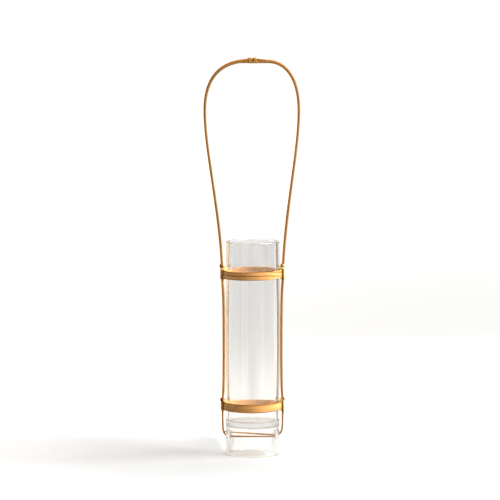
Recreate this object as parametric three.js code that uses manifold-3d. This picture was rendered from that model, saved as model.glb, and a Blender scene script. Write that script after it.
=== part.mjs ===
// Hanging glass vase: a straight glass tube on an open glass foot, carried in a split bamboo harness.
// Millimetres, +Z up. The origin is the middle of the foot, on the surface that the vase stands on.
// The harness is two staves, one at each side. Their tops are lapped and bound into a handle, two hoops
// hold them round the glass, and their tails cross under the glass floor through two holes in the foot.
import * as THREE from 'three';
import { mergeVertices } from 'three/addons/utils/BufferGeometryUtils.js';
import Module from 'manifold-3d';

// Glass
const glassRadius = 25;
const glassWall = 3.5;
const glassHeight = 198;
const footDepth = 27.5; // from the standing edge up to the underside of the floor
const floorThickness = 3.5;
const floorFillet = 2;
const footEdgeRound = 0.8;
const holeRadius = 4.6;
const holeHeight = 18.2;

// Room between pieces
const clearance = 0.3; // pieces that lie on each other
const turnGap = 0.45; // one turn of a winding and the next
const waistClearance = 0.3; // the staves and the glass, halfway between the hoops

// Split strands of the lashings and the handle's binding
const strandThickness = 0.4;
const lashWidth = 1.6;
const bindingWidth = 0.9;
const strandEnd = 1.6; // straight stretch at each end
const lashHeadThickness = 2; // the cut end of a lashing, left thick to stop it slipping
const lashHeadWidth = 2.6;

// Hoops. Both were tied by hand, so each sits a little askew.
const hoopHeight = 7.5;
const hoopThickness = 0.75;
const hoopChamfer = 0.3; // outer edges
const upperHoopSeat = {
  level: 167.75, // middle of the hoop's height
  rightUp: THREE.MathUtils.degToRad(0.85),
  frontUp: THREE.MathUtils.degToRad(-0.7),
  droop: 0, // how far it hangs at the front and the back, and is held up at the staves
};
const lowerHoopSeat = {
  level: 44.85,
  rightUp: THREE.MathUtils.degToRad(0.45),
  frontUp: THREE.MathUtils.degToRad(1.75),
  droop: 0.5,
};
const stripTipHeight = 0.6; // upper hoop, where its strip is trimmed to a point
const climbLength = 45; // upper hoop, along the strip while it climbs to its second turn
const climbStart = THREE.MathUtils.degToRad(25);
const hoopLapLength = 16; // lower hoop, where its ends lie over each other
const hoopLapStart = THREE.MathUtils.degToRad(195);
const hoopLapEase = 10; // lower hoop, along which its outer end swings out over the inner one
const skivedThickness = 0.35; // ends pared thin for a lap

// Staves and handle
const staveThickness = 2.5;
const staveWidth = 5; // from front to back
const staveChamfer = 0.6;
const upperSeatThickness = 2.1; // pared on the inside to lie on a hoop
const lowerSeatThickness = 1.8;
const paringLength = 8; // along which the paring runs out
const lapThickness = 2.1; // each half, in the middle of the handle's lap
const shoulderHeight = 318;
const hoopLean = 0.06; // how far the stave leans out for each millimetre, just beside a hoop
const leanOut = 55; // how long it keeps that lean above the upper hoop
const leanIn = 35; // how long it straightens up below the shoulder
const waistHandle = 45; // how long it keeps straight at the waist
const hoopHandle = 2; // how soon it leaves a hoop
const shoulderRise = 29; // how far the handle rises before it turns over
const crownSpread = 18.5; // how far the crown stays flat beside its lap
const crownUnderside = 361.5;
const handleLap = 25;

// Tails under the glass floor
const tailThickness = 1.2;
const tailTipThickness = 0.8;
const tailWidth = 1.4; // pared narrow, so that the two tails fit in a hole
const tailGap = 0.4; // between the two tails, which pass side by side
const tailStandOff = 2; // between a tail and the glass, below the lower hoop
const tailBendInset = 4.5; // where a tail is level again, inside the outer wall
const tailBendHeight = 10.6; // where a tail is upright again, above its level part
const tailBendPull = 2.1;

// What differs between the two staves. The shoulder is the middle of the stave where the handle is widest,
// the tail's reach is how far it comes out of the glass, and its heights count from the holes' middle.
const leftSide = { sign: -1, shoulder: 43.9, tailReach: -0.5, tailTipRise: -2.2, tailEntryRise: -1.8 };
const rightSide = { sign: 1, shoulder: 42.5, tailReach: 1.3, tailTipRise: 2.8, tailEntryRise: -0.3 };

// Lashings and binding. The turns of a lashing count from the outer face of its stave.
const lashStart = -1 / 12; // the cut end, at the stave's front outer edge
const lashFront = 0.75; // in front of the stave, where the strand starts down to the hoop
const lashEnd = 1.5; // inside the hoop
const lashSpread = 3; // how far the first turn of a lashing comes down the stave
const strandBelly = 0.1; // slack at the middle of each side
const bindingTurns = 4;
const bindingNotch = 2.4; // room for a hook between the two halves of the binding

// Facets
const glassSides = 60;
const glassEdgeSteps = 2; // half the facets of each rounded edge
const holeSides = 32;
const hoopSteps = 48; // in one turn
const staveSteps = { tail: 5, bend: 10, rise: 5, seat: 1, waist: 8, lean: 10, turnOver: 14, lap: 3 };
const strandSteps = 24; // in one turn
const loopSquareness = 8; // 2 is an ellipse, more is nearer to a rectangle

// Sizes that follow from the ones above
const strandRoom = clearance + strandThickness + clearance;
const hoopInner = glassRadius + strandRoom;
const hoopOuter = hoopInner + hoopThickness;
const seatRadius = hoopOuter + clearance; // the face of a stave that lies on a hoop
const waistRadius = glassRadius + waistClearance + staveThickness / 2;
const tailRadius = glassRadius + tailStandOff + tailThickness / 2;
const tailOffset = (tailGap + tailWidth) / 2;
const fullTurn = 2 * Math.PI;

const wasm = await Module();
wasm.setup();

// A three.js geometry as a solid: vertices merged by position, flat triangles at the axis dropped.
function toSolid(geometry) {
  const bare = geometry.clone();
  bare.deleteAttribute('normal');
  bare.deleteAttribute('uv');
  const merged = mergeVertices(bare, 1e-4);
  const index = [];
  for (let i = 0; i < merged.index.count; i += 3) {
    const corners = [0, 1, 2].map((k) => merged.index.getX(i + k));
    if (new Set(corners).size === 3) index.push(...corners);
  }
  return new wasm.Manifold(new wasm.Mesh({
    numProp: 3,
    vertProperties: new Float32Array(merged.attributes.position.array),
    triVerts: new Uint32Array(index),
  }));
}

function toGeometry(solid) {
  const mesh = solid.getMesh();
  const geometry = new THREE.BufferGeometry();
  geometry.setAttribute('position', new THREE.BufferAttribute(mesh.vertProperties, 3));
  geometry.setIndex(new THREE.BufferAttribute(mesh.triVerts, 1));
  geometry.computeVertexNormals();
  return geometry;
}

// Six times the volume that the triangles enclose, negative where they face inwards.
function signedVolume(points, index) {
  let sum = 0;
  for (let i = 0; i < index.length; i += 3) {
    const [a, b, c] = [points[index[i]], points[index[i + 1]], points[index[i + 2]]];
    sum += a.dot(b.clone().cross(c));
  }
  return sum;
}

// A closed bar through rings of points, each ring flat, convex and in the same order.
function loft(rings) {
  const sides = rings[0].length;
  const points = rings.flat();
  const index = [];
  for (let i = 0; i + 1 < rings.length; i += 1) {
    for (let j = 0; j < sides; j += 1) {
      const a = i * sides + j;
      const b = i * sides + ((j + 1) % sides);
      index.push(a, b, a + sides, b, b + sides, a + sides);
    }
  }
  const last = (rings.length - 1) * sides;
  for (let j = 1; j + 1 < sides; j += 1) {
    index.push(0, j + 1, j, last, last + j, last + j + 1);
  }
  if (signedVolume(points, index) < 0) index.reverse();
  const geometry = new THREE.BufferGeometry().setFromPoints(points);
  geometry.setIndex(index);
  geometry.computeVertexNormals();
  return geometry;
}

// The least distance between points of rings that lie half a turn or more apart along a winding.
function reportGap(name, rings, stepsInTurn) {
  let least = Infinity;
  for (let i = 0; i < rings.length; i += 1) {
    for (let k = i + Math.round(stepsInTurn / 2); k < rings.length; k += 1) {
      for (const p of rings[i]) {
        for (const q of rings[k]) least = Math.min(least, p.distanceTo(q));
      }
    }
  }
  console.log(`${name}: least gap to itself ${least.toFixed(2)} mm`);
}

// Smooth step from 0 to 1.
function ease(x) {
  const t = THREE.MathUtils.clamp(x, 0, 1);
  return t * t * (3 - 2 * t);
}

// Glass tube, floor and foot in one turned profile, from the floor's underside round to its top.
function glassVase() {
  const bore = glassRadius - glassWall;
  const floorTop = footDepth + floorThickness;
  const rimRadius = glassWall / 2;
  const rimLevel = glassHeight - rimRadius;
  const quarter = Math.PI / 2;
  const profile = new THREE.Path();
  profile.moveTo(0, footDepth);
  profile.lineTo(bore - floorFillet, footDepth);
  profile.absarc(bore - floorFillet, footDepth - floorFillet, floorFillet, quarter, 0, true);
  profile.lineTo(bore, footEdgeRound);
  profile.absarc(bore + footEdgeRound, footEdgeRound, footEdgeRound, Math.PI, 3 * quarter, false);
  profile.lineTo(glassRadius - footEdgeRound, 0);
  profile.absarc(glassRadius - footEdgeRound, footEdgeRound, footEdgeRound, -quarter, 0, false);
  profile.lineTo(glassRadius, rimLevel);
  profile.absarc(glassRadius - rimRadius, rimLevel, rimRadius, 0, quarter, false);
  profile.absarc(glassRadius - rimRadius, rimLevel, rimRadius, quarter, Math.PI, false);
  profile.lineTo(bore, floorTop + floorFillet);
  profile.absarc(bore - floorFillet, floorTop + floorFillet, floorFillet, 0, -quarter, true);
  profile.lineTo(0, floorTop);
  const turned = new THREE.LatheGeometry(profile.getPoints(glassEdgeSteps), glassSides).rotateX(quarter);
  const drillLength = 3 * glassRadius;
  const drill = new THREE.CylinderGeometry(holeRadius, holeRadius, drillLength, holeSides)
    .rotateZ(quarter)
    .translate(0, 0, holeHeight);
  return toGeometry(toSolid(turned).subtract(toSolid(drill)));
}

// The middle height of a hoop where it passes the stave on one side.
function hoopSide(seat, sign) {
  return seat.level + seat.droop + sign * hoopOuter * Math.sin(seat.rightUp);
}

// A flat strip bent round the glass: at each station its angle, its inner and outer radius and its edges.
function bandRings(stations, droop) {
  return stations.map(({ angle, inner, outer, low, high }) => {
    const lift = droop * Math.cos(2 * angle);
    const chamfer = Math.min(hoopChamfer, (outer - inner) / 2, (high - low) / 3);
    const corners = [
      [inner, low],
      [inner, high],
      [outer - chamfer, high],
      [outer, high - chamfer],
      [outer, low + chamfer],
      [outer - chamfer, low],
    ];
    return corners.map(([r, z]) => new THREE.Vector3(r * Math.cos(angle), r * Math.sin(angle), z + lift));
  });
}

// Upper hoop: one narrow strip wound twice. Its first end is pared to a point under the place where the
// strip climbs to its second turn, and its last end is pared to a point above that place.
function upperHoop() {
  const bottom = -hoopHeight / 2;
  const stripHeight = (hoopHeight - turnGap) / 2;
  const rise = stripHeight + turnGap;
  const climb = climbLength / (fullTurn * hoopInner);
  const level = (turn) => bottom + rise * ease((turn - 1) / climb);
  const steps = Math.ceil((2 + climb) * hoopSteps);
  const stations = [];
  for (let i = 0; i <= steps; i += 1) {
    const turn = i / hoopSteps;
    const low = turn > 2 ? level(turn - 1) + rise : level(turn);
    const high = turn < climb ? level(turn + 1) - turnGap : Math.min(low + stripHeight, hoopHeight / 2);
    const angle = climbStart - turn * fullTurn;
    const station = { angle, inner: hoopInner, outer: hoopOuter, low, high };
    if (high - low >= stripTipHeight) stations.push(station);
  }
  const rings = bandRings(stations, upperHoopSeat.droop);
  reportGap('upper_hoop', rings, hoopSteps);
  return loft(rings);
}

// Lower hoop: one broad strip bent once round, with pared ends that lie over each other.
function lowerHoop() {
  const lapTurn = hoopLapLength / (fullTurn * hoopInner);
  const easeTurn = hoopLapEase / (fullTurn * hoopInner);
  const pared = (along) => THREE.MathUtils.lerp(skivedThickness, hoopThickness, Math.min(along, 1));
  const steps = Math.round((1 + lapTurn) * hoopSteps);
  const stations = [];
  for (let i = 0; i <= steps; i += 1) {
    const turn = i / hoopSteps;
    const over = Math.max(turn - 1, 0) / lapTurn;
    const swing = ease((turn - 1 + easeTurn) / easeTurn);
    const inner = hoopInner + swing * (pared(over) + turnGap);
    const outer = inner + (turn < 1 ? pared(turn / lapTurn) : pared(1 - over));
    const angle = hoopLapStart + turn * fullTurn;
    stations.push({ angle, inner, outer, low: -hoopHeight / 2, high: hoopHeight / 2 });
  }
  const rings = bandRings(stations, lowerHoopSeat.droop);
  reportGap('lower_hoop', rings, hoopSteps);
  return loft(rings);
}

// A curve between two points of a stave that is upright at both ends.
function uprightCurve(from, to, fromHandle, toHandle) {
  const leave = new THREE.Vector2(from.x, from.y + fromHandle);
  const arrive = new THREE.Vector2(to.x, to.y - toHandle);
  return new THREE.CubicBezierCurve(from, leave, arrive, to);
}

// Eight corners of a stave's section, square to its run. The run lies in the XZ plane.
function staveRing(point, tangent, { thickness, width, offset }) {
  const normal = new THREE.Vector2(tangent.y, -tangent.x);
  const [h, w] = [thickness / 2, width / 2];
  const c = Math.min(staveChamfer, h / 2);
  const corners = [
    [h, w - c], [h - c, w], [c - h, w], [-h, w - c],
    [-h, c - w], [c - h, -w], [h - c, -w], [h, c - w],
  ];
  return corners.map(([out, across]) => new THREE.Vector3(
    point.x + out * normal.x,
    offset + across,
    point.y + out * normal.y,
  ));
}

// A stave in its own frame, where +X points away from the glass: from the tip of its tail through the
// foot, up past both hoops and over the shoulder to the tip of its half of the lap.
function stave(side, lap) {
  const at = (x, z) => new THREE.Vector2(x, z);
  const whole = { thickness: staveThickness, width: staveWidth, offset: 0 };
  const lowerSeat = { ...whole, thickness: lowerSeatThickness };
  const upperSeat = { ...whole, thickness: upperSeatThickness };
  const lapMid = { ...whole, thickness: lapThickness };
  const lapTip = { ...whole, thickness: skivedThickness };
  const thin = { thickness: tailThickness, width: tailWidth, offset: -tailOffset };
  const thinTip = { ...thin, thickness: tailTipThickness };
  const hoopSpan = hoopHeight / 2 + clearance;
  const lowerLevel = hoopSide(lowerHoopSeat, side.sign);
  const upperLevel = hoopSide(upperHoopSeat, side.sign);
  const lowerRadius = seatRadius + lowerSeatThickness / 2;
  const upperRadius = seatRadius + upperSeatThickness / 2;
  const lowerFree = seatRadius + lowerSeatThickness - staveThickness / 2;
  const upperFree = seatRadius + upperSeatThickness - staveThickness / 2;
  const leanShift = hoopLean * paringLength;

  const tip = at(-glassRadius - side.tailReach, holeHeight + side.tailTipRise);
  const entry = at(glassRadius - tailBendInset, holeHeight + side.tailEntryRise);
  const upright = at(tailRadius, entry.y + tailBendHeight);
  const slope = (entry.y - tip.y) / (entry.x - tip.x);
  const level = at(glassRadius, entry.y + slope * tailBendInset);
  const pull = at(tailRadius, entry.y + tailBendPull);
  const lowerIn = at(lowerRadius, lowerLevel - hoopSpan);
  const lowerOut = at(lowerRadius, lowerLevel + hoopSpan);
  const lowerEase = at(lowerFree - leanShift, lowerOut.y + paringLength);
  const waist = at(waistRadius, (lowerLevel + upperLevel) / 2);
  const upperIn = at(upperRadius, upperLevel - hoopSpan);
  const upperEaseIn = at(upperFree - leanShift, upperIn.y - paringLength);
  const upperOut = at(upperRadius, upperLevel + hoopSpan);
  const upperEaseOut = at(upperFree + leanShift, upperOut.y + paringLength);
  const leaning = at(upperEaseOut.x + hoopLean * leanOut, upperEaseOut.y + leanOut);
  const shoulder = at(side.shoulder, shoulderHeight);
  const arriving = at(side.shoulder, shoulderHeight - leanIn);
  const lapStart = at(handleLap / 2, crownUnderside + lap.start);
  const lapMiddle = at(0, crownUnderside + lap.middle);
  const lapEnd = at(-handleLap / 2, crownUnderside + lap.end);
  const lapDirection = lapStart.clone().sub(lapMiddle).normalize();
  const crown = lapStart.clone().addScaledVector(lapDirection, crownSpread);
  const turnOver = at(side.shoulder, shoulderHeight + shoulderRise);

  const runs = [
    [new THREE.LineCurve(tip, entry), staveSteps.tail, thinTip, thin],
    [new THREE.CubicBezierCurve(entry, level, pull, upright), staveSteps.bend, thin, thin],
    [uprightCurve(upright, lowerIn, tailBendPull, tailBendPull), staveSteps.rise, thin, lowerSeat],
    [new THREE.LineCurve(lowerIn, lowerOut), staveSteps.seat, lowerSeat, lowerSeat],
    [new THREE.LineCurve(lowerOut, lowerEase), staveSteps.seat, lowerSeat, whole],
    [uprightCurve(lowerEase, waist, hoopHandle, waistHandle), staveSteps.waist, whole, whole],
    [uprightCurve(waist, upperEaseIn, waistHandle, hoopHandle), staveSteps.waist, whole, whole],
    [new THREE.LineCurve(upperEaseIn, upperIn), staveSteps.seat, whole, upperSeat],
    [new THREE.LineCurve(upperIn, upperOut), staveSteps.seat, upperSeat, upperSeat],
    [new THREE.LineCurve(upperOut, upperEaseOut), staveSteps.seat, upperSeat, whole],
    [new THREE.CubicBezierCurve(upperEaseOut, leaning, arriving, shoulder), staveSteps.lean, whole, whole],
    [new THREE.CubicBezierCurve(shoulder, turnOver, crown, lapStart), staveSteps.turnOver, whole, whole],
    [new THREE.LineCurve(lapStart, lapMiddle), staveSteps.lap, whole, lapMid],
    [new THREE.LineCurve(lapMiddle, lapEnd), staveSteps.lap, lapMid, lapTip],
  ];
  const rings = [staveRing(tip, runs[0][0].getTangent(0), thinTip)];
  for (const [curve, steps, from, to] of runs) {
    for (let i = 1; i <= steps; i += 1) {
      const t = i / steps;
      const section = {
        thickness: THREE.MathUtils.lerp(from.thickness, to.thickness, t),
        width: THREE.MathUtils.lerp(from.width, to.width, t),
        offset: THREE.MathUtils.lerp(from.offset, to.offset, t),
      };
      rings.push(staveRing(curve.getPoint(t), curve.getTangent(t), section));
    }
  }
  return loft(rings);
}

// One point of a loop with rounded corners, and the direction that faces out of it there.
function loopPoint(turn, halfWidth, halfHeight) {
  const power = (value) => Math.sign(value) * Math.abs(value) ** (2 / loopSquareness);
  const c = power(Math.cos(turn * fullTurn));
  const s = power(Math.sin(turn * fullTurn));
  const facing = (value, half) => Math.sign(value) * Math.abs(value) ** (loopSquareness - 1) / half;
  return { x: halfWidth * c, y: halfHeight * s, outX: facing(c, halfWidth), outY: facing(s, halfHeight) };
}

// A flat strand wound along a path. place gives a point and the direction away from what it binds, and
// head is the size of the section at its first cut end.
function strand(name, width, head, place, fromTurn, toTurn) {
  const steps = Math.round((toTurn - fromTurn) * strandSteps);
  const flat = { thickness: strandThickness, width };
  const stations = [];
  for (let i = 0; i <= steps; i += 1) stations.push({ ...place(fromTurn + i / strandSteps), size: flat });
  const straighten = (end, next, size) => {
    const away = end.point.clone().sub(next.point).setLength(strandEnd);
    return { point: end.point.clone().add(away), out: end.out, size };
  };
  stations.unshift(straighten(stations[0], stations[1], head ?? flat));
  stations.push(straighten(stations.at(-1), stations.at(-2), flat));
  const rings = stations.map(({ point, out, size }, i) => {
    const before = stations[Math.max(i - 1, 0)].point;
    const after = stations[Math.min(i + 1, stations.length - 1)].point;
    const along = after.clone().sub(before).normalize();
    const across = along.clone().cross(out).normalize();
    const normal = across.clone().cross(along);
    const [h, w] = [size.thickness / 2, size.width / 2];
    const flank = w - h / 2;
    const corners = [[h, flank], [0, w], [-h, flank], [-h, -flank], [0, -w], [h, -flank]];
    return corners.map(([n, a]) => point.clone().addScaledVector(normal, n).addScaledVector(across, a));
  });
  reportGap(name, rings, strandSteps);
  return loft(rings);
}

// A lashing where a stave crosses a hoop, in the right stave's place and round the hoop's middle. The
// strand goes once round the stave above the hoop, slants down over its outside, passes under the hoop
// behind the stave and is tucked up between the hoop and the glass.
function lashing(name, hand, seatThickness) {
  const inner = glassRadius + clearance + strandThickness / 2;
  const outer = seatRadius + seatThickness + clearance + strandThickness / 2 + strandBelly;
  const halfWidth = staveWidth / 2 + clearance + strandThickness / 2 + strandBelly;
  const head = { thickness: lashHeadThickness, width: lashHeadWidth };
  const swing = hoopHeight / 2 + clearance + lashWidth / 2;
  const place = (turn) => {
    const loop = loopPoint(turn, (outer - inner) / 2, halfWidth);
    const height = turn < lashFront
      ? swing + lashSpread * (lashFront - turn)
      : -swing * (loop.y / halfWidth);
    const angle = (hand * loop.y) / hoopOuter;
    const radial = new THREE.Vector3(Math.cos(angle), Math.sin(angle), 0);
    const sideways = new THREE.Vector3(-Math.sin(angle), Math.cos(angle), 0);
    const point = radial.clone().multiplyScalar((inner + outer) / 2 + loop.x).setZ(height);
    const out = radial.multiplyScalar(loop.outX).addScaledVector(sideways, hand * loop.outY);
    return { point, out };
  };
  return strand(name, lashWidth, head, place, lashStart, lashEnd);
}

// The binding round the middle of the handle's lap: two turns, a step along the handle, two turns.
function crownBinding(lapHeight) {
  const reach = clearance + strandThickness / 2 + strandBelly;
  const middle = crownUnderside + lapHeight / 2;
  const half = bindingTurns / 2;
  const place = (turn) => {
    const loop = loopPoint(turn, staveWidth / 2 + reach, lapHeight / 2 + reach);
    const step = (bindingNotch - turnGap) * (ease(turn + 0.5) - 0.5);
    const along = (bindingWidth + turnGap) * turn + step;
    const point = new THREE.Vector3(along, loop.x, middle + loop.y);
    return { point, out: new THREE.Vector3(0, loop.outX, loop.outY) };
  };
  return strand('crown_binding', bindingWidth, null, place, -half, half);
}

const glass = { color: 0xe8efec, roughness: 0.05, metalness: 0, transparent: true, opacity: 0.35 };
const staveBamboo = { color: 0xb98a55, roughness: 0.5, metalness: 0 };
const hoopBamboo = { color: 0xcf9a58, roughness: 0.45, metalness: 0 };
const strandBamboo = { color: 0xc08a4a, roughness: 0.55, metalness: 0 };

function part(name, geometry, finish) {
  const mesh = new THREE.Mesh(geometry, new THREE.MeshStandardMaterial(finish));
  mesh.name = name;
  return mesh;
}

const vase = new THREE.Group();
vase.add(part('glass_vase', glassVase(), glass));

const harness = new THREE.Group();
vase.add(harness);

// The lower half of the handle's lap is the right stave, flat underneath. The left stave lies over it.
const lowerLap = { start: staveThickness / 2, middle: lapThickness / 2, end: skivedThickness / 2 };
const upperLap = {
  start: skivedThickness + clearance + staveThickness / 2,
  middle: lapThickness + clearance + lapThickness / 2,
  end: staveThickness + clearance + skivedThickness / 2,
};
const leftStave = part('left_stave', stave(leftSide, upperLap), staveBamboo);
leftStave.rotation.z = Math.PI;
harness.add(leftStave, part('right_stave', stave(rightSide, lowerLap), staveBamboo));

function seatedHoop(name, geometry, seat) {
  const mesh = part(name, geometry, hoopBamboo);
  mesh.position.z = seat.level;
  mesh.rotation.set(-seat.frontUp, -seat.rightUp, 0);
  return mesh;
}

harness.add(seatedHoop('upper_hoop', upperHoop(), upperHoopSeat));
harness.add(seatedHoop('lower_hoop', lowerHoop(), lowerHoopSeat));

const crossings = [
  ['upper', upperHoopSeat, upperSeatThickness],
  ['lower', lowerHoopSeat, lowerSeatThickness],
];
for (const [hoop, seat, seatThickness] of crossings) {
  for (const [side, { sign }] of [['left', leftSide], ['right', rightSide]]) {
    const name = `${hoop}_${side}_lashing`;
    const mesh = part(name, lashing(name, sign, seatThickness), strandBamboo);
    mesh.position.z = hoopSide(seat, sign);
    mesh.rotation.z = sign < 0 ? Math.PI : 0;
    harness.add(mesh);
  }
}

const lapHeight = 2 * lapThickness + clearance;
harness.add(part('crown_binding', crownBinding(lapHeight), strandBamboo));

export default vase;
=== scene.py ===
# %% [markdown]
# # A glass vase in a bamboo harness
# The vase is a straight glass tube on an open glass foot. Split bamboo carries it: two staves that bend over
# into a handle, two hoops round the glass, a lashing wherever a stave crosses a hoop, and a binding at the
# top. The solid model is loaded first, and every dressed piece lies where its solid lies. All the meshes below
# are made in millimetres and shrunk to metres when they become Blender objects.

# %% The solid model
import math
from collections import namedtuple

import bmesh
import bpy
from mathutils import Matrix, Vector
from mathutils.geometry import interpolate_bezier


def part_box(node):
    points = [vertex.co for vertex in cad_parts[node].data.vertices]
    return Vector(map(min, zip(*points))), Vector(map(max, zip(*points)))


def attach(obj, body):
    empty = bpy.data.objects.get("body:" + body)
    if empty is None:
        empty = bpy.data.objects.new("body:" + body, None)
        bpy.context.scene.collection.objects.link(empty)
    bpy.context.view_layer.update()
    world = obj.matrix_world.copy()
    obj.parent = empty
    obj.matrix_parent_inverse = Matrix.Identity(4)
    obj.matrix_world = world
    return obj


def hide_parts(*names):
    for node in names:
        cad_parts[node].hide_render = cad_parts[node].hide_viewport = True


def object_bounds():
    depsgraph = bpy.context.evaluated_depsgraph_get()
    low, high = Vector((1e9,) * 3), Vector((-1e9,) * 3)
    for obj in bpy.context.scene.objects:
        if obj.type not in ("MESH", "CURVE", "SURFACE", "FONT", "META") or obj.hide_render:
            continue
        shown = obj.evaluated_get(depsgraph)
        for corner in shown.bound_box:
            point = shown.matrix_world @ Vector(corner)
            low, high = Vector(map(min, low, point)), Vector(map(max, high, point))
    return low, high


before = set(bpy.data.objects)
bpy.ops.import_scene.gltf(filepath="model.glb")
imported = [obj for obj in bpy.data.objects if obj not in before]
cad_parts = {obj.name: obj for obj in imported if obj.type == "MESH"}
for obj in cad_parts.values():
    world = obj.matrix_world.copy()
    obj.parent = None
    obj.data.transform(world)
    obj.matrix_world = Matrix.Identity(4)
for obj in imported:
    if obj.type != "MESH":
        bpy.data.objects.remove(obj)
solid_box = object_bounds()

MM = 0.001

solid_sides = [round(v / MM, 1) for v in solid_box[1] - solid_box[0]]
print("solid model of", len(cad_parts), "nodes,", solid_sides, "mm")

# %% [markdown]
# ## The camera
# The picture is square and was taken with a long lens from a little above the handle. A long lens far away
# keeps the tube's sides parallel, so the camera stands three metres off and has a narrow angle of view. Its
# height is read from how far the round edges open into ellipses: hardly at the rim, more at the foot. The
# Standard view transform keeps the white studio white, where Blender's usual one would turn it grey.

# %% Camera
picture_side = 500
pixel_size = 0.9213
camera_distance = 3070
camera_height = 470
aim = Vector((-2.49, 0, 189.5))

camera_data = bpy.data.cameras.new("camera")
camera = bpy.data.objects.new("camera", camera_data)
bpy.context.scene.collection.objects.link(camera)
stand = Vector((aim.x, -camera_distance, camera_height))
camera.location = stand * MM
camera.rotation_euler = (aim - stand).to_track_quat("-Z", "Y").to_euler()
camera_data.angle = 2 * math.atan(picture_side * pixel_size / 2 / (aim - stand).length)
camera_data.clip_end = 100
bpy.context.scene.camera = camera
bpy.context.scene.view_settings.view_transform = "Standard"
print("camera angle", round(math.degrees(camera_data.angle), 2), "degrees")

# %% [markdown]
# ## Shader maths
# A finish is easier to read as a formula than as a list of links. A Value wraps one socket, and adding or
# multiplying Values adds the Math nodes. A Finish is one material, and its node method makes every other
# node: first the settings, then the inputs, which may be numbers, colours or Values.

# %% Values and finishes


class Value:
    """One socket of a node tree, usable in a formula."""

    def __init__(self, tree, socket):
        self.tree = tree
        self.socket = socket

    def maths(self, operation, first, second):
        step = self.tree.nodes.new("ShaderNodeMath")
        step.operation = operation
        plug(self.tree, step.inputs[0], first)
        plug(self.tree, step.inputs[1], second)
        return Value(self.tree, step.outputs[0])

    def __add__(self, other):
        return self.maths("ADD", self, other)

    def __radd__(self, other):
        return self.maths("ADD", other, self)

    def __sub__(self, other):
        return self.maths("SUBTRACT", self, other)

    def __rsub__(self, other):
        return self.maths("SUBTRACT", other, self)

    def __mul__(self, other):
        return self.maths("MULTIPLY", self, other)

    def __rmul__(self, other):
        return self.maths("MULTIPLY", other, self)

    def __abs__(self):
        return self.maths("ABSOLUTE", self, 0.0)

    def at_most(self, limit):
        return self.maths("MINIMUM", self, limit)


def plug(tree, socket, value):
    """Feeds a socket with a Value or sets it to a plain number, colour or vector."""
    if isinstance(value, Value):
        tree.links.new(value.socket, socket)
    else:
        socket.default_value = value


class Finish:
    """A material, or the world, with its node tree emptied."""

    def __init__(self, owner):
        owner.use_nodes = True
        self.owner = owner
        self.tree = owner.node_tree
        self.tree.nodes.clear()

    def node(self, kind, settings=None, inputs=None, output=0):
        made = self.tree.nodes.new("ShaderNode" + kind)
        for key, value in (settings or {}).items():
            setattr(made, key, value)
        for key, value in (inputs or {}).items():
            plug(self.tree, made.inputs[key], value)
        return Value(self.tree, made.outputs[output]) if made.outputs else None

    def axis(self, vector, name):
        """One of the three numbers of a place or a direction."""
        return self.node("SeparateXYZ", inputs={"Vector": vector}, output=name)

    def mix(self, factor, first, second):
        """A colour between two others."""
        inputs = {"Factor": factor, 6: first, 7: second}
        return self.node("Mix", {"data_type": "RGBA"}, inputs, 2)

    def span(self, value, low, high, start=0.0, end=1.0):
        """A Value carried smoothly from one range to another."""
        inputs = {"Value": value, "From Min": low, "From Max": high, "To Min": start, "To Max": end}
        return self.node("MapRange", {"interpolation_type": "SMOOTHSTEP"}, inputs)


# %% [markdown]
# ## Light
# The picture is a white studio shot. One very big soft lamp stands at the right, so the shadow falls straight
# to the left and has no sharp edge. The backdrop is so bright that it comes out white, and the rest of the
# room is dim and warm, which leaves the left sides of the bamboo brown. A sphere picture of a studio could
# light the scene, but a formula needs no picture and tells the rays apart: the world lights matt surfaces from
# behind the vase and little from elsewhere, reflections see a grey room, and whatever looks straight at it, or
# through the glass, sees white. The lamp is hidden from rays that the glass bends. Its light already reaches
# the table through the glass as plain shadow rays, and found twice it would come out as bright specks.

# %% Light
backdrop_light = 1.03
room_light = 0.10
room_gleam = 0.55
room_tone = (1, 0.8, 0.55, 1)
white = (1, 1, 1, 1)

world = bpy.data.worlds.new("studio")
bpy.context.scene.world = world
studio = Finish(world)
matt_ray = studio.node("LightPath", output="Is Diffuse Ray")
gloss_ray = studio.node("LightPath", output="Is Glossy Ray")
plain_ray = (1 - matt_ray) * (1 - gloss_ray)
behind = studio.span(studio.axis(studio.node("TexCoord", output="Generated"), "Y"), 0.5, 0.9)
lighting = room_light + (backdrop_light - room_light) * behind
gleam = room_gleam + (backdrop_light - room_gleam) * behind
strength = matt_ray * lighting + gloss_ray * (1 - matt_ray) * gleam + plain_ray * backdrop_light
tone = studio.mix(matt_ray * (1 - behind), white, room_tone)
sky = studio.node("Background", inputs={"Color": tone, "Strength": strength})
studio.node("OutputWorld", inputs={"Surface": sky})

key_light = bpy.data.lights.new("key_lamp", "AREA")
key_light.shape = "RECTANGLE"
key_light.size, key_light.size_y = 1.4, 1.0
key_light.energy = 128
key_lamp = bpy.data.objects.new("key_lamp", key_light)
key_place, key_target = Vector((1.28, -0.2, 1.45)), Vector((0, 0, 0.18))
key_lamp.location = key_place
key_lamp.rotation_euler = (key_target - key_place).to_track_quat("-Z", "Y").to_euler()
key_lamp.visible_transmission = False
bpy.context.scene.collection.objects.link(key_lamp)
print("world and key lamp")
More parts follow.
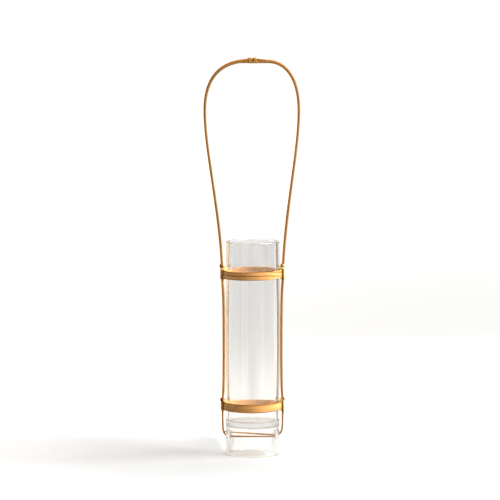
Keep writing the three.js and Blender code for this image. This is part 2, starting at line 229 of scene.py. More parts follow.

# %% [markdown]
# ## The table
# The table is white paper, one flat face. A plain white face would do for the shadow alone, but most of what
# is seen in the foot of the glass is a bent view of this table, so the paper is shaded by formula. The lamp
# lights it, and away from the lamp it also glows by itself, so that it comes out white as far as the backdrop.
# Three soft greyer patches widen the shadow at the left. Under the foot a beige shade is painted on the paper,
# with a thin darker painted ring where the glass stands on it. A brighter glowing way leads off behind the
# vase. It shows mostly through the glass, so it widens with the distance as the bent view does, and it fades
# first along its middle.
# Light that the glow sends up to the bamboo would fill the dark left sides, so matt surfaces get only a part
# of it.

# %% Table
table_half = 6.0
lamp_spot = (0.45, -0.1, 0)
paper_left_painted_light, paper_right_painted_shade = 0.47, 0.36
way_glow, way_flare = 0.37, 8
way_middle, way_reach = 0.02, 26
foot_middle = (0, 0, 0)
foot_ring = 0.0233
foot_shade_colour = (0.2, 0.1, 0, 1)
withheld = 0.6
Shade = namedtuple("Shade", "place near far darkest")
floor_shades = (
    Shade((-0.06, -0.015, 0), near=0.04, far=0.2, darkest=0.85),
    Shade((-0.03, 0.075, 0), near=0.012, far=0.045, darkest=0.86),
    Shade((-0.09, -0.07, 0), near=0.03, far=0.12, darkest=0.96),
)
foot_shade = Shade((-0.006, 0, 0), near=0.014, far=0.028, darkest=0.65)

table_mesh = bpy.data.meshes.new("table")
table_corners = [(x * table_half, y * table_half, 0) for x, y in ((-1, -1), (1, -1), (1, 1), (-1, 1))]
table_mesh.from_pydata(table_corners, [], [(0, 1, 2, 3)])
table = bpy.data.objects.new("table", table_mesh)
bpy.context.scene.collection.objects.link(table)
table_finish = Finish(bpy.data.materials.new("white_table"))
spot = table_finish.node("TexCoord", output="Object")
rightwards = table_finish.axis(spot, "X")
backwards = table_finish.axis(spot, "Y")


def distance(place):
    """How far a spot of the table is from a place."""
    return table_finish.node("VectorMath", {"operation": "DISTANCE"}, {0: spot, 1: place}, "Value")


def shading(shade):
    """How much of the paper's white is left in a soft round patch."""
    return table_finish.span(distance(shade.place), shade.near, shade.far, shade.darkest, 1.0)


lamp_distance = distance(lamp_spot)
near_glow = table_finish.span(lamp_distance, 0.1, 2.5, 0.0, 0.78)
far_glow = table_finish.span(lamp_distance, 2.3, 4.0, 0.0, 0.3)
off_way = abs(rightwards) - way_flare * backwards * backwards * backwards
way_across = table_finish.span(off_way, 0.0235, 0.031, way_glow, 0.0)
way_start = table_finish.span(backwards, 0.022, 0.03)
way_length = backwards * (1 - way_reach * abs(rightwards).at_most(way_middle))
way_end = table_finish.span(way_length, 0.05, 0.5, 1.0, 0.0)
bright_way = way_across * way_start * way_end
# Painted light and shade: the paper is lighter at the left, away from the lamp, and darker at the right, near
# it; the soft patches of painted shadow are multiplied in.
paper = table_finish.span(rightwards, -0.35, 0.35, paper_left_painted_light, paper_right_painted_shade)
for shade in floor_shades:
    paper = paper * shading(shade)
# Painted shade under the foot: a beige tint and a thin darker ring where the glass stands.
foot_contact_shade = table_finish.span(abs(distance(foot_middle) - foot_ring), 0.0008, 0.0028, 0.2, 1.0)
foot_shade_tone = table_finish.mix(shading(foot_shade) * foot_contact_shade, foot_shade_colour, white)
matt = table_finish.node("LightPath", output="Is Diffuse Ray")
table_surface = table_finish.node("BsdfPrincipled", inputs={
    "Base Color": table_finish.node("VectorMath", {"operation": "MULTIPLY"}, {0: paper, 1: foot_shade_tone}),
    "Roughness": 0.9,
    "Specular IOR Level": 0.0,
    "Emission Color": (near_glow + far_glow + bright_way) * (1 - withheld * matt),
    "Emission Strength": 1.0,
})
table_finish.node("OutputMaterial", inputs={"Surface": table_surface})
table_mesh.materials.append(table_finish.owner)
print("table of", 2 * table_half, "m")

# %% [markdown]
# ## The glass
# A tube like this is one profile turned about its axis: up the outside, over the round rim, down the bore to
# the floor, and back under the floor into the open foot. A Screw modifier could turn it, but building the
# rings in code keeps the flat parts flat, because an extra ring beside each rounded edge stops the smooth
# shading there. The two holes in the foot are cut with a Boolean, because a round hole through a round wall is
# hard to lay out by hand.

# %% Glass profile
glass_radius = 25.0
glass_wall = 3.5
glass_height = 198.0
foot_depth = 27.5
floor_thickness = 3.5
floor_fillet = 2.0
foot_edge_round = 0.8
shading_ring = 0.4


def arc(centre, radius, start, end, steps=8):
    """Points of an arc in a profile, from one angle to another in degrees."""
    points = []
    for i in range(steps + 1):
        angle = math.radians(start + (end - start) * i / steps)
        points.append((centre[0] + radius * math.cos(angle), centre[1] + radius * math.sin(angle)))
    return points


bore = glass_radius - glass_wall
floor_top = foot_depth + floor_thickness
rim_radius = glass_wall / 2
rim_level = glass_height - rim_radius
inner_floor = bore - floor_fillet
glass_profile = [
    (0, foot_depth),
    (inner_floor - shading_ring, foot_depth),
    *arc((inner_floor, foot_depth - floor_fillet), floor_fillet, 90, 0),
    (bore, foot_depth - floor_fillet - shading_ring),
    (bore, foot_edge_round + shading_ring),
    *arc((bore + foot_edge_round, foot_edge_round), foot_edge_round, 180, 270),
    *arc((glass_radius - foot_edge_round, foot_edge_round), foot_edge_round, 270, 360),
    (glass_radius, foot_edge_round + shading_ring),
    (glass_radius, rim_level - shading_ring),
    *arc((glass_radius - rim_radius, rim_level), rim_radius, 0, 180, 16),
    (bore, rim_level - shading_ring),
    (bore, floor_top + floor_fillet + shading_ring),
    *arc((inner_floor, floor_top + floor_fillet), floor_fillet, 0, -90),
    (inner_floor - shading_ring, floor_top),
    (0, floor_top),
]
print("glass profile of", len(glass_profile), "points")

# %% [markdown]
# ## The glass finish
# The finish is clear glass that bends light. Faint streaks run along the tube as it was drawn, and the floor is
# the darkest part. Towards the rim the tint grows greyer, a painted shade for the dimmer room seen through the
# upper tube. A volume that takes up light could give the tint, but a tint on the surface is quicker and less
# noisy. Bent light seldom finds a lamp, so for shadow rays the glass is merely a pale filter, which gives the
# soft light shadow. Light is caught in the wall and comes out at the rim after many reflections, so the
# renderer has to follow more of them than usual.

# %% Glass finish
bounce_limit = 160
streak_scale = (130, 130, 4)
foot_tints = (0.91, 0.9, 0.875, 1), (0.935, 0.925, 0.9, 1)
rim_shade_tints = (0.785, 0.78, 0.77, 1), (0.855, 0.85, 0.84, 1)
floor_tint = (0.74, 0.73, 0.69, 1)
shadow_tint = (0.915, 0.91, 0.905, 1)

for limit in ("max_bounces", "transmission_bounces", "glossy_bounces"):
    setattr(bpy.context.scene.cycles, limit, bounce_limit)
clear_glass = Finish(bpy.data.materials.new("clear_glass"))
glass_place = clear_glass.node("TexCoord", output="Object")
drawn_out = clear_glass.node("VectorMath", {"operation": "MULTIPLY"}, {0: glass_place, 1: streak_scale})
streaks = clear_glass.node("TexNoise", inputs={"Vector": drawn_out, "Scale": 1.0, "Detail": 2.0})
streak_mask = clear_glass.span(streaks, 0.35, 0.65)
foot_tint = clear_glass.mix(streak_mask, *foot_tints)
rim_shade_tint = clear_glass.mix(streak_mask, *rim_shade_tints)
level_up = clear_glass.axis(glass_place, "Z")
# Painted shade: the tint greys from the foot up to the rim.
tube_tint_and_shade = clear_glass.mix(clear_glass.span(level_up, -0.02, 0.2), foot_tint, rim_shade_tint)
floor_level = (foot_depth + floor_thickness / 2) * MM
floor_mask = clear_glass.span(abs(level_up - floor_level), 0.0012, 0.003, 0.85, 0.0)
glass_body = clear_glass.node("BsdfPrincipled", inputs={
    "Base Color": clear_glass.mix(floor_mask, tube_tint_and_shade, floor_tint),
    "Roughness": 0.0,
    "IOR": 1.5,
    "Transmission Weight": 1.0,
})
passing = clear_glass.node("BsdfTransparent", inputs={"Color": shadow_tint})
shadow_ray = clear_glass.node("LightPath", output="Is Shadow Ray")
clear_glass.node("OutputMaterial", inputs={
    "Surface": clear_glass.node("MixShader", inputs={0: shadow_ray, 1: glass_body, 2: passing})})
print("glass finish")

# %% Glass mesh
glass_sides = 192
hole_radius = 4.6
hole_height = 18.2
drill_reach = 1.5 * glass_radius
drill_sides = 64
sharp_angle = math.radians(40)


def turned(profile, sides):
    """A closed mesh from a profile that starts and ends on the axis."""
    shape = bmesh.new()
    turns = [2 * math.pi * i / sides for i in range(sides)]
    rings = []
    for radius, height in profile:
        if radius == 0:
            rings.append([shape.verts.new((0, 0, height))] * sides)
            continue
        rings.append([shape.verts.new((radius * math.cos(a), radius * math.sin(a), height)) for a in turns])
    for lower, upper in zip(rings, rings[1:]):
        for i in range(sides):
            j = (i + 1) % sides
            corners = dict.fromkeys((lower[i], lower[j], upper[j], upper[i]))
            shape.faces.new(corners)
    bmesh.ops.recalc_face_normals(shape, faces=shape.faces)
    return shape


def misfit(shape, node):
    """How far a shape's box and a solid's box differ, in millimetres."""
    low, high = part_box(node)
    gaps = []
    for i in range(3):
        places = [corner.co[i] for corner in shape.verts]
        gaps += [abs(min(places) - low[i] / MM), abs(max(places) - high[i] / MM)]
    return round(max(gaps), 2)


def add_piece(name, shape, body, finishes, node):
    """Makes a piece from a mesh in millimetres. It rides on a body and stands for a solid."""
    fit = misfit(shape, node)
    bmesh.ops.scale(shape, vec=(MM, MM, MM), verts=shape.verts)
    mesh = bpy.data.meshes.new(name)
    shape.to_mesh(mesh)
    shape.free()
    mesh.shade_smooth()
    for finish in finishes:
        mesh.materials.append(finish)
    piece = bpy.data.objects.new(name, mesh)
    bpy.context.scene.collection.objects.link(piece)
    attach(piece, body)
    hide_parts(node)
    print(name, len(mesh.polygons), "faces, box within", fit, "mm of its solid")
    return piece


def cut(piece, cutter_shape):
    """Takes a shape in millimetres away from a piece."""
    bmesh.ops.scale(cutter_shape, vec=(MM, MM, MM), verts=cutter_shape.verts)
    cutter_mesh = bpy.data.meshes.new("cutter")
    cutter_shape.to_mesh(cutter_mesh)
    cutter_shape.free()
    cutter = bpy.data.objects.new("cutter", cutter_mesh)
    bpy.context.scene.collection.objects.link(cutter)
    step = piece.modifiers.new("hole", "BOOLEAN")
    step.operation = "DIFFERENCE"
    step.solver = "EXACT"
    step.object = cutter
    bpy.context.view_layer.objects.active = piece
    bpy.ops.object.modifier_apply(modifier=step.name)
    bpy.data.objects.remove(cutter)


glass = add_piece(
    "glass_tube", turned(glass_profile, glass_sides), "vase", [clear_glass.owner], "glass_vase")
drill_profile = [(0, -drill_reach), (hole_radius, -drill_reach), (hole_radius, drill_reach), (0, drill_reach)]
drill = turned(drill_profile, drill_sides)
for corner in drill.verts:
    corner.co = Vector((corner.co.z, corner.co.y, corner.co.x + hole_height))
bmesh.ops.recalc_face_normals(drill, faces=drill.faces)
cut(glass, drill)
glass.data.set_sharp_from_angle(angle=sharp_angle)

# %% [markdown]
# ## Split bamboo
# All the bamboo is split strip: the shiny skin of the cane on the outside, pale fibre on the sides and the
# inside. Every piece is a section swept along a route, so one function makes them all. A curve with a bevel
# could sweep a section too, but its section cannot change its width and its thickness apart. The function also
# writes a UV map in real millimetres, along the strip and round it, because bamboo grain runs along the strip
# wherever that bends.

# %% Strips
fullest_round = 0.95


class Station:
    """A place on a strip's route: its middle, the way the skin faces, and the section's size there."""

    def __init__(self, point, out, thickness, width):
        self.point = Vector(point)
        self.out = Vector(out)
        self.thickness = thickness
        self.width = width


def section(thickness, width, skin_round, back_round, steps=4):
    """Points round a strip's section, as pairs of how far out and how far across."""
    half, side = thickness / 2, width / 2
    points = []
    for quarter, (out, across) in enumerate(((1, 1), (-1, 1), (-1, -1), (1, -1))):
        rounding = min(skin_round if out > 0 else back_round, half * fullest_round, side * fullest_round)
        centre = (out * (half - rounding), across * (side - rounding))
        points += arc(centre, rounding, quarter * 90, quarter * 90 + 90, steps)
    return points


def strip(stations, skin_round, back_round, cut_bevel=0.15, dark_stretch=0):
    """A closed mesh swept along a route. Cut ends and the first dark stretches get the second material."""
    shape = bmesh.new()
    grain = shape.loops.layers.uv.new("grain")
    section_place = shape.loops.layers.uv.new("section")
    rings, lengths, shares = [], [], []
    length = 0.0
    last = len(stations) - 1
    for i, station in enumerate(stations):
        before, after = stations[max(i - 1, 0)].point, stations[min(i + 1, last)].point
        along = (after - before).normalized()
        across = along.cross(station.out).normalized()
        out = across.cross(along)
        if i:
            length += (station.point - stations[i - 1].point).length
        shrink = cut_bevel if i in (0, last) else 0.0
        corners = section(station.thickness - shrink, station.width - shrink, skin_round, back_round)
        rings.append([shape.verts.new(station.point + out * n + across * a) for n, a in corners])
        shares.append([(0.5 + n / station.thickness, 0.5 + a / station.width) for n, a in corners])
        lengths.append(length)
    girth = [0.0]
    middle = rings[len(rings) // 2]
    for i in range(len(middle)):
        girth.append(girth[-1] + (middle[(i + 1) % len(middle)].co - middle[i].co).length)
    for i in range(last):
        for j in range(len(middle)):
            k = (j + 1) % len(middle)
            face = shape.faces.new((rings[i][j], rings[i][k], rings[i + 1][k], rings[i + 1][j]))
            face.material_index = 1 if i < dark_stretch else 0
            marks = ((i, j), (i, j + 1), (i + 1, j + 1), (i + 1, j))
            for loop, (row, column) in zip(face.loops, marks):
                loop[grain].uv = (lengths[row], girth[column])
                loop[section_place].uv = shares[row][column % len(middle)]
    for end in (rings[0][::-1], rings[-1]):
        face = shape.faces.new(end)
        face.material_index = 1
    bmesh.ops.recalc_face_normals(shape, faces=shape.faces)
    return shape


# %% [markdown]
# ## The bamboo finish
# Close up, split bamboo is a bundle of fibres: thin darker lines that run along it, some broken into short
# dashes, over a warm straw colour that drifts from place to place. The skin side is smoother and glossier, and
# its edges get a painted shade, so that the seams between strips come out as dark lines. A picture of bamboo
# could be wrapped round each strip, but noise has no seams and suits any length. The lines come from noise that
# is squeezed across the strip and stretched along it. The strands at the right, which face the lamp, get paler
# lit copies of the strand finish and of its cut end, as painted light.

# %% Bamboo finishes


def bamboo(name, pale, dark, inside, seam_shade, gloss, seed):
    """A finish for strips: warm skin with darker lines, painted shade at its edges, and another colour inside.
    """
    finish = Finish(bpy.data.materials.new(name))
    place = finish.node("UVMap", {"uv_map": "grain"})
    along, round_it = finish.axis(place, "X"), finish.axis(place, "Y")
    share = finish.node("UVMap", {"uv_map": "section"})
    skin = finish.span(finish.axis(share, "X"), 0.15, 0.6)
    seam_shade_mask = finish.span(abs(finish.axis(share, "Y") - 0.5), 0.34, 0.48)

    def fibres(long_scale, fine_scale, detail, offset):
        where = finish.node("CombineXYZ", inputs={
            "X": along * long_scale, "Y": round_it * fine_scale, "Z": seed + offset})
        return finish.node("TexNoise", inputs={
            "Vector": where, "Scale": 1.0, "Detail": detail, "Roughness": 0.6})

    lines = fibres(0.025, 1.3, 3.0, 0.0)
    dashes = fibres(0.07, 2.2, 2.0, 7.0)
    bands = fibres(0.012, 0.75, 1.0, 19.0)
    drift = fibres(0.02, 0.12, 2.0, 13.0)
    line_mask = finish.span(lines, 0.45, 0.68)
    dash_mask = finish.span(dashes, 0.6, 0.72)
    band_mask = finish.span(bands, 0.48, 0.66)
    drift_mask = finish.span(drift, 0.35, 0.65)
    deep = [channel * 0.5 for channel in dark]
    colour = finish.mix(skin, (*inside, 1), (*pale, 1))
    for amount, layer in (
        (drift_mask * 0.25, dark),
        (line_mask * 0.5, dark),
        (band_mask * skin * 0.5, dark),
        # painted shade along the skin's edges, for the dark seams between strips
        (seam_shade_mask * skin * seam_shade, dark),
        (dash_mask * 0.25 * (1 - 0.5 * skin), deep),
    ):
        colour = finish.mix(amount, colour, (*layer, 1))
    relief = finish.node("Bump", inputs={
        "Strength": 0.3, "Distance": 0.00005, "Height": lines + dashes * 0.5})
    surface = finish.node("BsdfPrincipled", inputs={
        "Base Color": colour,
        "Roughness": 0.55 - 0.4 * gloss + 0.15 * (1 - skin) + 0.08 * line_mask,
        "Specular IOR Level": gloss,
        "Normal": relief,
    })
    finish.node("OutputMaterial", inputs={"Surface": surface})
    return finish.owner


def cut_end(name, colour):
    """A finish for a cut end: open pores in brown fibre."""
    finish = Finish(bpy.data.materials.new(name))
    place = finish.node("TexCoord", output="Object")
    pores = finish.node("TexVoronoi", inputs={"Vector": place, "Scale": 4000.0}, output="Distance")
    dark = [channel * 0.35 for channel in colour]
    surface = finish.node("BsdfPrincipled", inputs={
        "Base Color": finish.mix(finish.span(pores, 0.1, 0.7), (*dark, 1), (*colour, 1)),
        "Roughness": 0.85,
        "Specular IOR Level": 0.0,
    })
    finish.node("OutputMaterial", inputs={"Surface": surface})
    return finish.owner


# The staves' inside is darker than their skin: partly its own colour, partly painted shade for the side that
# faces the glass.
stave_finish = bamboo(
    "stave_bamboo", pale=(0.53, 0.25, 0.072), dark=(0.27, 0.11, 0.028), inside=(0.36, 0.2, 0.05),
    seam_shade=0.6, gloss=0.03, seed=1.0)
hoop_finish = bamboo(
    "hoop_bamboo", pale=(0.72, 0.395, 0.135), dark=(0.27, 0.085, 0.017), inside=(0.7, 0.38, 0.15),
    seam_shade=0.95, gloss=0.03, seed=31.0)
strand_finish = bamboo(
    "strand_bamboo", pale=(0.76, 0.46, 0.15), dark=(0.33, 0.14, 0.038), inside=(0.66, 0.38, 0.12),
    seam_shade=0.15, gloss=0.2, seed=61.0)
# Painted light: paler copies of the strand finish and of the cut end, for the strands at the right, which face
# the lamp.
lit_strand_finish = bamboo(
    "painted_lit_strand", pale=(0.9, 0.74, 0.3), dark=(0.5, 0.28, 0.09), inside=(0.85, 0.66, 0.25),
    seam_shade=0.15, gloss=0.2, seed=71.0)
binding_finish = bamboo(
    "binding_bamboo", pale=(0.5, 0.25, 0.08), dark=(0.27, 0.11, 0.028), inside=(0.43, 0.21, 0.06),
    seam_shade=0.3, gloss=0.03, seed=91.0)
end_finish = cut_end("cut_bamboo", (0.12, 0.03, 0.007))
lit_cut_finish = cut_end("painted_lit_cut", (0.4, 0.13, 0.035))
print("five bamboo finishes and two for cut ends")

# %% [markdown]
# ## How the harness lies
# The hoops were tied by hand, so each lies a little askew: a touch higher at the right, tipped towards the
# front or the back, and the lower one sags between the staves that hold it. A stave or a lashing meets a hoop
# at the level that the hoop has on that side.

# %% Hoop lie
Lie = namedtuple("Lie", "level right_up front_up droop seat")
clearance = 0.3
strand_thickness = 0.4
hoop_height = 7.5
hoop_thickness = 0.75
hoop_inner = glass_radius + clearance + strand_thickness + clearance
hoop_outer = hoop_inner + hoop_thickness
seat_radius = hoop_outer + clearance
lies = {
    "upper": Lie(
        level=167.75, right_up=math.radians(0.85), front_up=math.radians(-0.7), droop=0.0, seat=2.1),
    "lower": Lie(
        level=44.85, right_up=math.radians(0.45), front_up=math.radians(1.75), droop=0.5, seat=1.8),
}


def side_level(lie, sign):
    """The middle height of a hoop where it passes the stave on one side."""
    return lie.level + lie.droop + sign * hoop_outer * math.sin(lie.right_up)


for hoop, lie in lies.items():
    print(hoop, "hoop at", [round(side_level(lie, sign), 2) for sign in (-1, 1)], "mm, left and right")

# %% [markdown]
# ## The staves
# A stave is one long strip. Its thin tail starts in the foot, goes out through a hole, bends up and thickens,
# passes over the two hoops, leans out to a shoulder and turns over into the handle. It is pared on the inside
# where it lies on a hoop, and at the top its end is pared away to lie on the other stave's end. The thin tip is
# sunk a little into the other stave, so that no step shows. The solid pieces stand a clearance apart, and here
# a filling closes it, because the real ones are tied tight. The route could be a list of measured points, but a
# chain of Bezier curves is shorter and behaves as a bent stick does: straight where it is held, smooth in
# between.

# %% Stave sizes
stave_thickness = 2.5
stave_width = 5.0
stave_skin_round, stave_back_round = 1.1, 0.9
filling = 0.25
lap_root_thickness = 3.3
lap_thickness = 2.3
lap_tip_thickness = 0.35
lap_sink = 0.1
paring = 8.0
waist_radius = glass_radius + clearance + stave_thickness / 2
shoulder_height = 318.0
hoop_lean = 0.06
lean_out, lean_in = 55.0, 35.0
waist_handle, hoop_handle = 45.0, 2.0
shoulder_rise = 29.0
crown_spread = 18.5
crown_underside = 361.5
handle_lap = 25.0
tail_thickness = 1.9
tail_tip_thickness = 1.25
tail_width = 1.4
tail_offset = 0.8
tail_radius = glass_radius + 2.6
tail_inset, tail_bend, tail_pull = 4.5, 10.6, 2.1

Side = namedtuple("Side", "sign shoulder reach tip_rise entry_rise")
left_side = Side(sign=-1, shoulder=43.9, reach=-0.5, tip_rise=-2.2, entry_rise=-1.8)
right_side = Side(sign=1, shoulder=42.5, reach=1.3, tip_rise=2.8, entry_rise=-0.3)
print("shoulders at", left_side.shoulder, "and", right_side.shoulder, "mm")

# %% Stave mesh
Size = namedtuple("Size", "thickness width offset")
Lap = namedtuple("Lap", "start_rise middle_rise end_rise")


def straight(start, end):
    """Control points of a straight run."""
    (x0, z0), (x1, z1) = start, end
    return [start, (x0 + (x1 - x0) / 3, z0 + (z1 - z0) / 3),
            (x0 + (x1 - x0) * 2 / 3, z0 + (z1 - z0) * 2 / 3), end]


def upright(start, end, leave, arrive):
    """Control points of a run that is upright at both ends."""
    return [start, (start[0], start[1] + leave), (end[0], end[1] - arrive), end]


def hoop_seat(lie, sign):
    """A stave's level on a hoop, its size and radius there, and the whole stave's radius beside it."""
    size = Size(lie.seat + filling, stave_width, 0.0)
    face = seat_radius + lie.seat
    return side_level(lie, sign), size, face - size.thickness / 2, face - stave_thickness / 2


def stave(side, lap):
    """A stave at the right of the glass, from the tip of its tail to the tip of its lap."""
    whole = Size(stave_thickness, stave_width, 0.0)
    thin = Size(tail_thickness, tail_width, -tail_offset)
    thin_tip = Size(tail_tip_thickness, tail_width, -tail_offset)
    lap_root = Size(lap_root_thickness, stave_width, 0.0)
    lap_half = Size(lap_thickness + filling / 2, stave_width, 0.0)
    lap_tip = Size(lap_tip_thickness, stave_width, 0.0)
    lower_level, lower_seat, lower_radius, lower_free = hoop_seat(lies["lower"], side.sign)
    upper_level, upper_seat, upper_radius, upper_free = hoop_seat(lies["upper"], side.sign)
    reach = hoop_height / 2 + clearance
    shift = hoop_lean * paring

    tip = (-glass_radius - side.reach, hole_height + side.tip_rise)
    entry = (glass_radius - tail_inset, hole_height + side.entry_rise)
    slope = (entry[1] - tip[1]) / (entry[0] - tip[0])
    level = (glass_radius, entry[1] + slope * tail_inset)
    pull = (tail_radius, entry[1] + tail_pull)
    rising = (tail_radius, entry[1] + tail_bend)
    lower_in = (lower_radius, lower_level - reach)
    lower_out = (lower_radius, lower_level + reach)
    lower_ease = (lower_free - shift, lower_out[1] + paring)
    waist = (waist_radius, (lower_level + upper_level) / 2)
    upper_in = (upper_radius, upper_level - reach)
    upper_ease_in = (upper_free - shift, upper_in[1] - paring)
    upper_out = (upper_radius, upper_level + reach)
    upper_ease_out = (upper_free + shift, upper_out[1] + paring)
    leaning = (upper_ease_out[0] + hoop_lean * lean_out, upper_ease_out[1] + lean_out)
    arriving = (side.shoulder, shoulder_height - lean_in)
    shoulder = (side.shoulder, shoulder_height)
    turn_over = (side.shoulder, shoulder_height + shoulder_rise)
    lap_start = (handle_lap / 2, crown_underside + lap.start_rise)
    lap_middle = (0.0, crown_underside + lap.middle_rise)
    lap_end = (-handle_lap / 2, crown_underside + lap.end_rise)
    lap_way = (Vector(lap_start) - Vector(lap_middle)).normalized()
    crown = tuple(Vector(lap_start) + lap_way * crown_spread)
    # Each run has its control points, its number of steps, and its size at the start and at the end.
    runs = [
        (straight(tip, entry), 24, thin_tip, thin),
        ([entry, level, pull, rising], 24, thin, thin),
        (upright(rising, lower_in, tail_pull, tail_pull), 12, thin, lower_seat),
        (straight(lower_in, lower_out), 4, lower_seat, lower_seat),
        (straight(lower_out, lower_ease), 6, lower_seat, whole),
        (upright(lower_ease, waist, hoop_handle, waist_handle), 32, whole, whole),
        (upright(waist, upper_ease_in, waist_handle, hoop_handle), 32, whole, whole),
        (straight(upper_ease_in, upper_in), 6, whole, upper_seat),
        (straight(upper_in, upper_out), 4, upper_seat, upper_seat),
        (straight(upper_out, upper_ease_out), 6, upper_seat, whole),
        ([upper_ease_out, leaning, arriving, shoulder], 48, whole, whole),
        ([shoulder, turn_over, crown, lap_start], 64, whole, lap_root),
        (straight(lap_start, lap_middle), 12, lap_root, lap_half),
        (straight(lap_middle, lap_end), 16, lap_half, lap_tip),
    ]
    route = [(Vector((tip[0], 0, tip[1])), thin_tip)]
    for points, steps, start, end in runs:
        curve = interpolate_bezier(*[Vector((x, 0, z)) for x, z in points], steps + 1)
        for i in range(1, steps + 1):
            route.append((curve[i], Size(*[a + (b - a) * i / steps for a, b in zip(start, end)])))
    stations = []
    for i, (point, size) in enumerate(route):
        before, after = route[max(i - 1, 0)][0], route[min(i + 1, len(route) - 1)][0]
        along = (after - before).normalized()
        out = (along.z, 0, -along.x)
        stations.append(Station(point + Vector((0, size.offset, 0)), out, size.thickness, size.width))
    return strip(stations, stave_skin_round, stave_back_round)


def half_turn(shape):
    """Turns a shape round the glass from the right side to the left."""
    for corner in shape.verts:
        corner.co = Vector((-corner.co.x, -corner.co.y, corner.co.z))
    return shape


lower_lap = Lap(
    start_rise=lap_root_thickness / 2,
    middle_rise=lap_thickness / 2 + filling / 4,
    end_rise=lap_tip_thickness / 2)
upper_lap = Lap(
    start_rise=lap_root_thickness / 2 - lap_sink,
    middle_rise=lap_thickness + clearance + lap_thickness / 2 - filling / 4,
    end_rise=lap_root_thickness - lap_sink - lap_tip_thickness / 2)
stave_finishes = [stave_finish, end_finish]
add_piece("right_bamboo_stave", stave(right_side, lower_lap), "harness",
          stave_finishes, "right_stave")
add_piece("left_bamboo_stave", half_turn(stave(left_side, upper_lap)), "harness",
          stave_finishes, "left_stave")

# %% [markdown]
# ## The hoops
# The upper hoop is one narrow strip that goes twice round. At the right it climbs from its first turn to its
# second, and both of its ends are pared to a point to leave room for the climb. The lower hoop is one broad
# strip whose ends lie over each other. Closed rings would be simpler, but a strip that starts and ends is what
# a hand winds round a glass, and it shows where the climb and the laps are.

# %% Hoops
turn_gap = 0.03
lap_gap = 0.08
lap_edge = 0.12
strip_tip = 0.6
climb_length = 45.0
climb_start = math.radians(25)
hoop_steps = 180
hoop_lap = 16.0
hoop_lap_start = math.radians(195)
hoop_lap_ease = 10.0
hoop_girth = 2 * math.pi * hoop_inner
hoop_skin_round, hoop_back_round = 0.35, 0.2


def ease(x):
    """A smooth step from 0 to 1."""
    x = min(max(x, 0.0), 1.0)
    return x * x * (3 - 2 * x)


def ring_station(angle, inner, outer, low, high, droop):
    """A station of a band that lies round the glass."""
    facing = Vector((math.cos(angle), math.sin(angle), 0))
    height = (low + high) / 2 + droop * math.cos(2 * angle)
    return Station(facing * (inner + outer) / 2 + Vector((0, 0, height)), facing, outer - inner, high - low)


def settle(shape, lie):
    """Tips a hoop and lifts it to its level."""
    tip = Matrix.Rotation(-lie.front_up, 3, "X") @ Matrix.Rotation(-lie.right_up, 3, "Y")
    for corner in shape.verts:
        corner.co = tip @ corner.co + Vector((0, 0, lie.level))
    return shape


def wound_hoop(droop):
    """One narrow strip wound twice round, with pointed ends."""
    bottom = -hoop_height / 2
    strip_height = (hoop_height - turn_gap) / 2
    rise = strip_height + turn_gap
    climb = climb_length / hoop_girth

    def level(turn):
        return bottom + rise * ease((turn - 1) / climb)

    stations = []
    for i in range(math.ceil((2 + climb) * hoop_steps) + 1):
        turn = i / hoop_steps
        low = level(turn - 1) + rise if turn > 2 else level(turn)
        high = level(turn + 1) - turn_gap if turn < climb else min(low + strip_height, hoop_height / 2)
        if high - low >= strip_tip:
            angle = climb_start - turn * 2 * math.pi
            stations.append(ring_station(angle, hoop_inner, hoop_outer, low, high, droop))
    return strip(stations, hoop_skin_round, hoop_back_round)


def lapped_hoop(droop):
    """One broad strip bent once round, with its pared ends one over the other."""
    lap = hoop_lap / hoop_girth
    easing = hoop_lap_ease / hoop_girth

    def pared_to(share):
        return lap_edge + (hoop_thickness - lap_edge) * min(share, 1.0)

    stations = []
    for i in range(round((1 + lap) * hoop_steps) + 1):
        turn = i / hoop_steps
        over = max(turn - 1, 0) / lap
        inner = hoop_inner + ease((turn - 1 + easing) / easing) * (pared_to(over) + lap_gap)
        outer = inner + (pared_to(turn / lap) if turn < 1 else pared_to(1 - over))
        angle = hoop_lap_start + turn * 2 * math.pi
        stations.append(ring_station(angle, inner, outer, -hoop_height / 2, hoop_height / 2, droop))
    return strip(stations, hoop_skin_round, hoop_back_round)


hoop_finishes = [hoop_finish, end_finish]
for hoop, make in (("upper", wound_hoop), ("lower", lapped_hoop)):
    lie = lies[hoop]
    add_piece(f"{hoop}_bamboo_hoop", settle(make(lie.droop), lie), "harness",
              hoop_finishes, f"{hoop}_hoop")

# %% [markdown]
# ## Lashings and binding
# A lashing is a flat split strand. It goes once round the stave above the hoop, comes down over the outside,
# passes under the hoop behind the stave and is tucked up between the hoop and the glass. At the left it slants
# over the stave, and at the right it runs down the stave's front corner. Its first end is a thick dark head, so
# that it cannot slip through. The thin binding at the top goes twice round the lap, steps along and goes twice
# round again, which leaves a notch for the hook. Seen along the stave a turn is a rectangle with round corners.
# That could be pieced together from lines and arcs, but a superellipse is one short formula for it.

# %% Strands
Lash = namedtuple("Lash", "width spread start head stand_off hold")
outer_corner, front = -1 / 12, -1 / 4
lashes = {
    ("upper", "left"): Lash(
        width=1.6, spread=3.0, start=outer_corner, head=(3.2, 3.4), stand_off=0.1, hold=0.0),
    ("upper", "right"): Lash(
        width=1.9, spread=2.6, start=front, head=(1.6, 3.0), stand_off=0.3, hold=0.2),
    ("lower", "left"): Lash(
        width=1.3, spread=1.4, start=outer_corner, head=(2.8, 3.4), stand_off=0.1, hold=0.0),
    ("lower", "right"): Lash(
        width=1.8, spread=1.4, start=outer_corner, head=(2.0, 2.4), stand_off=0.3, hold=0.2),
}
strand_bulk = 0.75
strand_end = 1.6
strand_steps = 96
strand_skin_round, strand_back_round = 0.7, 0.2
strand_bevel = 0.08
squareness = 5
lash_front, lash_end = 0.75, 1.5
hold_from, hold_to, fall_to = 0.2, 0.6, 0.75
belly = 0.1
strand_reach = clearance + strand_thickness + belly - strand_bulk / 2
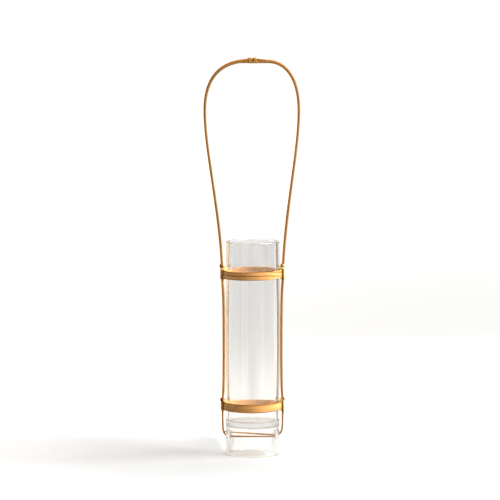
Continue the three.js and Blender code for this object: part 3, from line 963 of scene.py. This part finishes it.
binding_bulk = 0.25
binding_reach = 0.12
binding_width = 1.25
binding_gap = 0.1
binding_turns = 4
binding_notch = 2.05


def loop_point(turn, half_width, half_height):
    """A point of a loop with round corners, and the way it faces there."""
    def power(value):
        return math.copysign(abs(value) ** (2 / squareness), value)

    c, s = power(math.cos(turn * 2 * math.pi)), power(math.sin(turn * 2 * math.pi))
    facing = (math.copysign(abs(c) ** (squareness - 1), c) / half_width,
              math.copysign(abs(s) ** (squareness - 1), s) / half_height)
    return half_width * c, half_height * s, facing


def strand(place, width, bulk, head, start, end):
    """A flat strand along a path, straight at both ends. A head makes the first end thick and dark."""
    count = round((end - start) * strand_steps)
    flat = (bulk, width)
    stations = [Station(*place(start + (end - start) * i / count), *flat) for i in range(count + 1)]
    for where, tip, inner, size in ((0, stations[0], stations[1], head or flat),
                                    (len(stations) + 1, stations[-1], stations[-2], flat)):
        away = (tip.point - inner.point).normalized() * strand_end
        stations.insert(where, Station(tip.point + away, tip.out, *size))
    dark_stretch = 1 if head else 0
    return strip(stations, strand_skin_round, strand_back_round, strand_bevel, dark_stretch)


def lashing(hand, seat, lash):
    """A lashing at the right of the glass, level with its hoop."""
    inner = glass_radius + clearance + strand_thickness / 2
    outer = seat_radius + seat + strand_reach
    half_depth = (outer - inner) / 2
    half_width = stave_width / 2 + strand_reach
    swing = hoop_height / 2 + clearance + lash.width / 2

    def place(turn):
        way = 2 * (turn - lash_front)
        if lash.hold and 0 < way < 1:
            held = lash.hold * ease(way / hold_from)
            released = (1 - lash.hold) * ease((way - hold_to) / (1 - hold_to))
            x, y, facing = loop_point(lash_front + (held + released) / 2, half_depth, half_width)
            height = swing * (1 - 2 * ease(way / fall_to))
        else:
            x, y, facing = loop_point(turn, half_depth, half_width)
            height = swing - lash.spread * way / 2 if way < 0 else -swing * y / half_width
        outside = max(math.cos(turn * 2 * math.pi), 0)
        angle = hand * y / hoop_outer
        radial = Vector((math.cos(angle), math.sin(angle), 0))
        sidelong = Vector((-math.sin(angle), math.cos(angle), 0)) * hand
        point = radial * ((inner + outer) / 2 + x + lash.stand_off * outside) + Vector((0, 0, height))
        return point, radial * facing[0] + sidelong * facing[1]

    return strand(place, lash.width, strand_bulk, lash.head, lash.start, lash_end)


def binding():
    """The strand round the lap, in two halves with a notch between them."""
    lap_height = 2 * lap_thickness + clearance
    half = binding_turns / 2

    def place(turn):
        y, z, facing = loop_point(turn, stave_width / 2 + binding_reach, lap_height / 2 + binding_reach)
        step = (binding_notch - binding_gap) * (ease(turn + 0.5) - 0.5)
        x = (binding_width + binding_gap) * turn + step
        return Vector((x, y, crown_underside + lap_height / 2 + z)), Vector((0, *facing))

    return strand(place, binding_width, binding_bulk, None, -half, half)


for hoop, lie in lies.items():
    # The lashings at the right get the painted lit copies of the strand and cut-end finishes.
    for side, sign, finishes in (("left", -1, [strand_finish, end_finish]),
                                 ("right", 1, [lit_strand_finish, lit_cut_finish])):
        shape = lashing(sign, lie.seat, lashes[hoop, side])
        bmesh.ops.translate(shape, vec=(0, 0, side_level(lie, sign)), verts=shape.verts)
        if sign < 0:
            half_turn(shape)
        add_piece(f"{hoop}_{side}_strand", shape, "harness",
                  finishes, f"{hoop}_{side}_lashing")
add_piece("crown_strand", binding(), "harness",
          [binding_finish, end_finish], "crown_binding")
